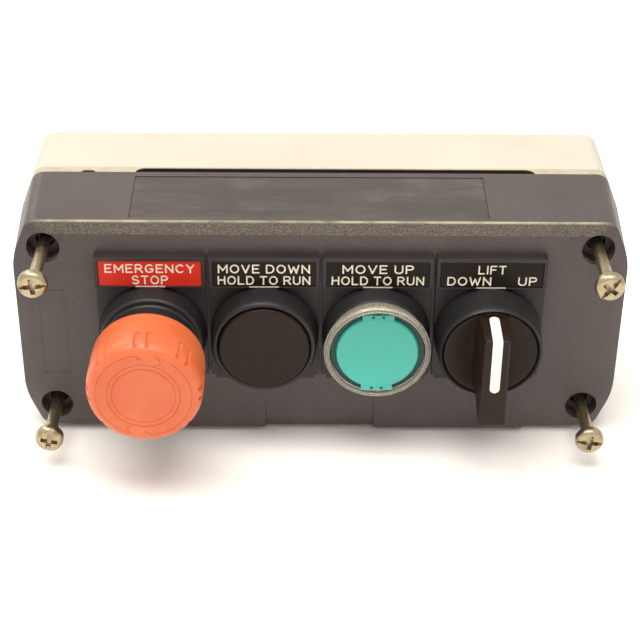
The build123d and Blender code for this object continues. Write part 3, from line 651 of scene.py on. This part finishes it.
# ---- emergency stop ---------------------------------------------------------------------------
def make_mushroom():
    """Red cap: rounded drum with a beaded front, engraved turn arrows and pairs of grip slots."""
    x = HEAD_X["estop"]
    low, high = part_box("estop_mushroom")
    front = (FACE_Y - low[1]) / MM
    back = (FACE_Y - high[1]) / MM
    flat = front - 0.16
    edge = [
        (0.0, flat), (7.95, flat), (8.12, flat - 0.12), (8.3, flat), (8.5, front - 0.02), (8.75, front),
        (9.0, front - 0.02), (9.16, flat), (9.32, flat - 0.12), (9.5, flat), (12.2, flat),
        (13.1, flat - 0.2), (13.9, flat - 0.75), (14.5, flat - 1.55), (14.9, flat - 2.8),
        (15.05, flat - 4.5), (14.95, back + 3.0), (14.75, back + 0.5), (14.3, back), (13.1, back),
        (12.95, back + 0.3), (12.9, front - 4.3), (0.0, front - 4.3),
    ]
    mesh = lathe("cap", x, 0, edge, closed=False, segments=192)
    cap = new_piece("estop_cap_shell", mesh, "red_plastic", "estop_cap", 50)

    def ring_line(r, start, end):
        steps = max(4, int(abs(end - start) / 4))
        angles = [math.radians(start + (end - start) * k / steps) for k in range(steps + 1)]
        return [at_head(x, r, a, flat) for a in angles]

    # two arrows, each an outer line from tail to head and the head's two barbs
    lines = []
    for turn in (0, 180):
        lines.append(ring_line(12.25, 236 - turn, 98 - turn))
        tail = [(12.25, 98), (11.5, 95), (10.9, 89)]
        head = [(12.5, 74), (11.7, 67.5), (11.0, 64.5), (10.2, 66.5), (9.7, 70)]
        for run in (tail, head):
            lines.append([at_head(x, r, math.radians(a - turn), flat) for r, a in run])
        lines.append(ring_line(12.25, 71 - turn, 62 - turn))
    cut(cap, tube_tool(lines, 0.15), overlapping=True)
    slot_line = [(15.05, front - 6.4), (15.05, front - 4.4), (14.75, front - 2.9), (14.2, front - 1.5)]
    slots = []
    for k in range(8):
        for side in (-1, 1):
            angle = math.radians(90 + 45 * k + side * 6.0)
            slots.append([at_head(x, r + 0.05, angle, t) for r, t in slot_line])
    cut(cap, tube_tool(slots, 0.62))
    cap.data.shade_smooth()
    cap.data.set_sharp_from_angle(angle=math.radians(28))
    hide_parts("estop_mushroom")


# ---- selector ---------------------------------------------------------------------------------
def between(table, place):
    """Value at a place in a table of (place, value) rows, in falling order of place."""
    for (p0, v0), (p1, v1) in zip(table, table[1:]):
        if place >= p1:
            return v0 + (v1 - v0) * min(1.0, max(0.0, (p0 - place) / (p0 - p1)))
    return table[-1][1]


def make_handle():
    """Selector knob: dished disc, long handle that leans out past its lower edge, white pointer."""
    x = HEAD_X["selector"]
    low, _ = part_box("selector_handle")
    crest = (FACE_Y - low[1]) / MM - 0.15
    tip_z = low[2] / MM
    disc_t = 11.7
    disc = [
        (0.0, disc_t - 1.1), (3.0, disc_t - 1.05), (6.5, disc_t - 0.8), (9.5, disc_t - 0.35),
        (11.4, disc_t - 0.05), (11.9, disc_t), (12.25, disc_t), (12.55, disc_t - 0.35), (12.55, 7.0),
        (6.6, 7.0), (6.6, 0.0), (5.0, 0.0), (5.0, 6.0), (0.0, 6.0),
    ]
    body = lathe("knob", x, 0, rounded(disc, 0.25), closed=False)
    knob = new_piece("selector_knob_disc", body, "black_plastic", "selector_knob", 40)

    top_z = 11.9
    # height of the handle's front and back surfaces above the face, at each place along it
    front_table = [
        (top_z, disc_t - 0.3), (11.82, 16.0), (11.72, 20.0), (11.6, 22.6), (11.45, crest - 0.3),
        (11.2, crest - 0.05), (10.9, crest), (tip_z + 1.0, crest), (tip_z + 0.45, crest - 0.12),
        (tip_z + 0.15, crest - 0.45), (tip_z, crest - 1.0),
    ]
    back_table = [
        (top_z, disc_t - 1.3), (-10.4, disc_t - 1.3), (-11.2, disc_t + 1.6), (-14.6, crest - 3.3),
        (tip_z, crest - 2.0),
    ]
    heights = [top_z, 11.82, 11.72, 11.6, 11.45, 11.2, 10.9]
    heights += [10.5 - k * 1.2 for k in range(18)]
    heights += [tip_z + d for d in (4.2, 3.4, 2.6, 1.9, 1.4, 1.0, 0.7, 0.45, 0.28, 0.15, 0.06, 0.0)]
    around = 64
    bm = bmesh.new()
    rings = []
    for z in heights:
        front = between(front_table, z)
        back = between(back_table, z)
        from_tip = z - tip_z
        crest_half = 3.35 + 0.3 * (top_z - z) / (top_z - tip_z)
        foot_half = 4.75 - 1.0 * max(0.0, min(1.0, (5.0 - from_tip) / 5.0))
        corner = 1.3
        if from_tip < corner:
            pinch = corner * (1 - math.sqrt(max(0.0, 1 - (1 - from_tip / corner) ** 2)))
        else:
            pinch = 0.0
        ring = []
        for k in range(around):
            angle = 2 * math.pi * (k + 0.5) / around
            across = math.copysign(abs(math.cos(angle)) ** 0.16, math.cos(angle))
            rise = (1 + math.copysign(abs(math.sin(angle)) ** 0.16, math.sin(angle))) / 2
            t = back + (front - back) * rise
            lift = min(1.0, max(0.0, (t - disc_t + 0.8) / 4.2))
            half = foot_half + (crest_half - foot_half) * lift ** 0.55
            ring.append(bm.verts.new((x + across * (half - pinch) * MM, FACE_Y - t * MM, z * MM)))
        rings.append(ring)
    for one, two in zip(rings, rings[1:]):
        for k in range(around):
            bm.faces.new((one[k], one[(k + 1) % around], two[(k + 1) % around], two[k]))
    bm.faces.new(rings[0])
    bm.faces.new(rings[-1])
    bmesh.ops.recalc_face_normals(bm, faces=bm.faces)
    mesh = bpy.data.meshes.new("handle")
    bm.to_mesh(mesh)
    bm.free()
    new_piece("selector_long_handle", mesh, "black_plastic", "selector_knob", 40)
    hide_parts("selector_handle")

    # pointer: a strip with round ends, folded over the handle's top edge
    half = 1.28
    skin = crest + 0.08
    path = [
        (12.45, 11.93), (13.0, 11.93), (16.0, 11.88), (20.0, 11.78), (22.6, 11.66), (crest - 0.25, 11.52),
        (crest + 0.02, 11.2), (skin, 10.8), (skin, 4.0), (skin, -2.0), (skin, -4.2),
    ]
    spine = []
    for (t0, z0), (t1, z1) in zip(path, path[1:]):
        steps = max(1, int(math.hypot(t1 - t0, z1 - z0) / 0.25))
        spine += [(t0 + (t1 - t0) * k / steps, z0 + (z1 - z0) * k / steps) for k in range(steps)]
    spine.append(path[-1])
    lengths = [0.0]
    for (t0, z0), (t1, z1) in zip(spine, spine[1:]):
        lengths.append(lengths[-1] + math.hypot(t1 - t0, z1 - z0))
    # across the strip: share of its half width, and depth below its surface
    section = (
        (-1.0, 0.3), (-1.0, 0.05), (-0.93, 0.0), (-0.4, 0.0),
        (0.4, 0.0), (0.93, 0.0), (1.0, 0.05), (1.0, 0.3),
    )
    bm = bmesh.new()
    rows = []
    for (t, z), run in zip(spine, lengths):
        near_end = min(run, lengths[-1] - run)
        wide = half if near_end >= half else math.sqrt(max(0.003, half ** 2 - (half - near_end) ** 2))
        row = []
        for u, sink in section:
            back_off = sink if z < 11.3 else 0.0
            down = sink if z >= 11.3 else 0.0
            row.append(bm.verts.new((x + u * wide * MM, FACE_Y - (t - back_off) * MM, (z - down) * MM)))
        rows.append(row)
    for one, two in zip(rows, rows[1:]):
        for k in range(len(one)):
            n = (k + 1) % len(one)
            bm.faces.new((one[k], one[n], two[n], two[k]))
    bm.faces.new(rows[0])
    bm.faces.new(rows[-1])
    bmesh.ops.recalc_face_normals(bm, faces=bm.faces)
    mesh = bpy.data.meshes.new("pointer")
    bm.to_mesh(mesh)
    bm.free()
    pointer = new_piece("selector_white_pointer", mesh, "white_plastic", "selector_knob", 50)
    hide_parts("selector_pointer")


# ---- black button -----------------------------------------------------------------------------
def make_black_cap():
    """Black cap: shallow dish with a rolled edge, a little proud of the bezel."""
    skirt = (FACE_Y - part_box("black_button")[1][1]) / MM
    profile = [
        (0.0, 9.5), (4.0, 9.55), (8.0, 9.75), (10.8, 10.05), (11.6, 10.15), (11.95, 10.0), (12.1, 9.6),
        (12.1, 6.9), (6.6, 6.9), (6.6, -11.05), (8.5, -11.05), (8.5, skirt), (0.0, skirt),
    ]
    mesh = lathe("cap", HEAD_X["black"], 0, rounded(profile, 0.3), closed=False, segments=192)
    cap = new_piece("black_cap", mesh, "black_plastic", "black_pusher", 40)
    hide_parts("black_button")


# ---- return springs ---------------------------------------------------------------------------
def make_springs():
    """Return springs, copied from their CAD nodes and fixed to the cover."""
    for name in ("estop", "black", "green"):
        node = nodes[f"{name}_spring"]
        mesh = node.data.copy()
        mesh.transform(node.matrix_world)
        spring = new_piece(f"{name}_coil", mesh, "spring_steel", "cover", 60)
        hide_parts(f"{name}_spring")
        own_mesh(spring)


# ---- screws -----------------------------------------------------------------------------------
def make_screws():
    """Waisted lid screws: domed-edge heads with a slot and a cross, rolled threads at the end."""
    slot_turn = {1: 84, 2: 38, 3: 12, 4: 96}  # how far each head is turned, in degrees
    head = 2.77
    threaded = 8.0
    step = 0.175  # a quarter of the thread's pitch
    slots = ((0.8, 8.4, 0.85), (1.25, 4.5, 1.5), (4.5, 1.25, 1.5))  # width, length and depth
    for index in range(1, 5):
        low, high = (Vector(c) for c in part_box(f"cover_screw_{index}"))
        x = (low.x + high.x) / 2
        z = (low.z + high.z) / 2
        top = (FACE_Y - low.y) / MM
        end = (FACE_Y - high.y) / MM
        seat = top - head
        thread = end + threaded
        profile = [
            (0.0, top - 0.05), (1.6, top), (3.0, top - 0.12), (3.62, top - 0.7), (3.8, top - 1.3),
            (3.8, seat + 0.15), (3.6, seat), (1.9, seat), (1.65, seat - 0.3), (1.65, thread - 0.1),
        ]
        t = thread - 0.3
        while t > end + 1.1:
            profile += [(2.0, t), (2.0, t - step * 0.5), (1.68, t - step * 2.0), (1.68, t - step * 2.4)]
            t -= step * 4
        profile += [(1.7, end + 0.9), (1.35, end), (0.0, end)]
        mesh = lathe("screw", x, z, rounded(profile[:9], 0.3) + profile[9:], closed=False, segments=64)
        screw = new_piece(f"lid_screw_{index}", mesh, "zinc_steel", f"cover_screw_{index}", 40)
        turn = Matrix.Rotation(math.radians(slot_turn[index]), 4, "Y")
        place = Matrix.Translation((x, 0, z)) @ turn
        y = FACE_Y - top * MM
        for across, long, deep in slots:
            corner = (-across / 2 * MM, y - MM, -long / 2 * MM)
            tool = block_mesh("slot", corner, (across / 2 * MM, y + deep * MM, long / 2 * MM))
            tool.transform(place)
            cut(screw, tool)
        screw.data.shade_smooth()
        screw.data.set_sharp_from_angle(angle=math.radians(35))
        bevel = screw.modifiers.new("edges", "BEVEL")
        bevel.width = 0.06 * MM
        bevel.segments = 2
        bevel.limit_method = "ANGLE"
        bevel.angle_limit = math.radians(50)
        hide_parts(f"cover_screw_{index}")


# ---- green button's clear ring and lens -------------------------------------------------------
RING_TOP = 12.4
LENS_TOP = 12.3
TAB_HALF = 4.15
TAB_REACH = (9.9, 11.65)  # the tabs' inner and outer edges
TAB_BACK = 10.7
DIMPLE_R = 0.42
DIMPLE_X = 1.3
DIMPLE_Z = 11.05


def make_clear_ring():
    """Clear ring with three fine beads, standing on the bezel's rim."""
    x = HEAD_X["green"]
    back = (FACE_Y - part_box("green_clear_ring")[1][1]) / MM
    top = RING_TOP
    profile = [
        (12.7, back + 0.1), (13.2, back + 0.1), (13.2, 9.9), (13.8, 10.05), (14.15, 10.5), (14.17, top - 1.3),
    ]
    for bead, size, rise in ((13.97, 0.20, 1.2), (13.38, 0.28, 0.6), (12.86, 0.2, 0.2)):
        for k in range(7):
            angle = math.radians(20 + 140 * k / 6)
            profile.append((bead + size * math.cos(angle), top - rise + size * math.sin(angle)))
    profile += [(12.66, top - 0.6), (12.62, top - 2.0)]
    ring = new_piece("green_ring", lathe("ring", x, 0, profile, segments=256), "clear_plastic", "cover", 60)
    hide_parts("green_clear_ring")


def make_lens():
    """Green lens: domed disc in a sunk rebate coloured dark as painted shade, with a dimpled tab across it
    above and below.
    """
    x = HEAD_X["green"]
    top = LENS_TOP
    disc = [
        (0.0, top), (6.0, top - 0.02), (9.6, top - 0.1), (10.5, top - 0.22), (10.85, top - 0.5),
        (10.95, top - 1.1), (10.95, 8.45), (0.0, 8.4),
    ]
    mesh = lathe("lens", x, 0, rounded(disc, 0.3), closed=False, segments=192)
    lens = new_piece("green_lens_disc", mesh, "green_lens", "green_pusher", 40)
    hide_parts("green_lens")
    # painted shade: the sunk rebate around the lens is coloured dark teal
    trough = [(10.9, 10.8), (12.45, 10.8), (12.45, 7.3), (11.4, 7.3), (10.9, 8.4)]
    mesh = lathe("rebate", x, 0, trough, segments=192)
    new_piece("green_lens_rebate_painted_shade", mesh, "rebate_plastic", "green_pusher", 40)
    dimple = [(0.0, 10.9), (DIMPLE_R, 10.9), (DIMPLE_R, top), (0.0, top)]
    for side, where in ((1, "top"), (-1, "bottom")):
        low, high = sorted((side * TAB_REACH[0], side * TAB_REACH[1]))
        near = (x - TAB_HALF * MM, FACE_Y - (top - 0.4) * MM, low * MM)
        far = (x + TAB_HALF * MM, FACE_Y - TAB_BACK * MM, high * MM)
        tab = new_piece(f"green_lens_tab_{where}", block_mesh("tab", near, far), "green_lens", "green_pusher")
        for dx in (-DIMPLE_X, DIMPLE_X):
            cut(tab, lathe("dimple", x + dx * MM, side * DIMPLE_Z * MM, dimple, closed=False, segments=24))


# ---- moulded rectangle on the cover's left end ------------------------------------------------
def make_plain_frame():
    """Faint raised rectangle on the face's left end, left empty."""
    x0, x1, z0, z1 = -75.6, -68.5, -14.4, 12.0
    line = 0.28
    bm = bmesh.new()
    bars = (
        ((x0, z0), (x1, z0 + line)), ((x0, z1 - line), (x1, z1)),
        ((x0, z0), (x0 + line, z1)), ((x1 - line, z0), (x1, z1)),
    )
    for low, high in bars:
        near = (low[0] * MM, FACE_Y - 0.07 * MM, low[1] * MM)
        mesh = block_mesh("bar", near, (high[0] * MM, FACE_Y + 0.05 * MM, high[1] * MM))
        bm.from_mesh(mesh)
        bpy.data.meshes.remove(mesh)
    mesh = bpy.data.meshes.new("frame")
    bm.to_mesh(mesh)
    bm.free()
    new_piece("cover_plain_frame", mesh, "dark_case", "cover")


# ---- stage ------------------------------------------------------------------------------------
def make_floor():
    """Pale floor under the station."""
    low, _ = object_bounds()
    bm = bmesh.new()
    bmesh.ops.create_grid(bm, x_segments=2, y_segments=2, size=6.0)
    bmesh.ops.translate(bm, vec=(0, 0, low[2] - 0.0001), verts=bm.verts)
    mesh = bpy.data.meshes.new("floor")
    bm.to_mesh(mesh)
    bm.free()
    floor = bpy.data.objects.new("floor", mesh)
    bpy.context.collection.objects.link(floor)
    s = Shader("floor", Roughness=0.7)
    drift = s.noise(400.0, detail=2.0)
    mesh.materials.append(s.finish(s.mix(drift, (0.90, 0.885, 0.865), (0.92, 0.91, 0.895))))


def area_light(name, place, aim, size, power, colour):
    data = bpy.data.lights.new(name, "AREA")
    data.shape = "RECTANGLE"
    data.size, data.size_y = size
    data.energy = power
    data.color = colour
    light = bpy.data.objects.new(name, data)
    light.location = place
    light.rotation_euler = (Vector(aim) - Vector(place)).to_track_quat("-Z", "Y").to_euler()
    bpy.context.collection.objects.link(light)


def make_lights():
    world = bpy.data.worlds.new("studio")
    bpy.context.scene.world = world
    world.use_nodes = True
    background = world.node_tree.nodes["Background"]
    background.inputs["Color"].default_value = (1.0, 0.955, 0.895, 1.0)
    background.inputs["Strength"].default_value = 1.0
    area_light("overhead", (-0.08, -0.22, 0.9), (0, -0.03, 0), (0.9, 0.5), 9.5, (1.0, 0.955, 0.885))
    area_light("back_left", (-0.55, 0.6, 0.6), (0, -0.02, 0), (0.4, 0.4), 2.0, (1.0, 0.96, 0.9))


def make_camera():
    """Long lens, looking down at the face from in front."""
    place = Vector((-4.42, -420.7, 233.24)) * MM
    pitch, yaw, roll = (math.radians(v) for v in (-32.06, 0.67, 0.6))
    forward = Vector((math.sin(yaw) * math.cos(pitch), math.cos(yaw) * math.cos(pitch), math.sin(pitch)))
    level = Vector((math.cos(yaw), -math.sin(yaw), 0))
    above = level.cross(forward)
    right = math.cos(roll) * level + math.sin(roll) * above
    up = math.cos(roll) * above - math.sin(roll) * level
    data = bpy.data.cameras.new("camera")
    data.sensor_width = 36.0
    data.lens = 90.6
    data.clip_start = 0.01
    camera = bpy.data.objects.new("camera", data)
    camera.matrix_world = Matrix((
        (right.x, up.x, -forward.x, place.x), (right.y, up.y, -forward.y, place.y),
        (right.z, up.z, -forward.z, place.z), (0, 0, 0, 1),
    ))
    bpy.context.collection.objects.link(camera)
    bpy.context.scene.camera = camera


dress_nodes()
for node, width in (("cover_shell", 0.25), ("base_shell", 0.35)):
    soften(node, width)
for name in OPERATORS:
    soften(f"{name}_legend_holder", 0.14)
    soften(f"{name}_head", 0.12)
make_legends()
make_mushroom()
make_handle()
make_springs()
make_screws()
make_clear_ring()
make_lens()
make_black_cap()
make_plain_frame()
make_floor()
make_lights()
make_camera()
bpy.context.scene.view_settings.view_transform = "Standard"
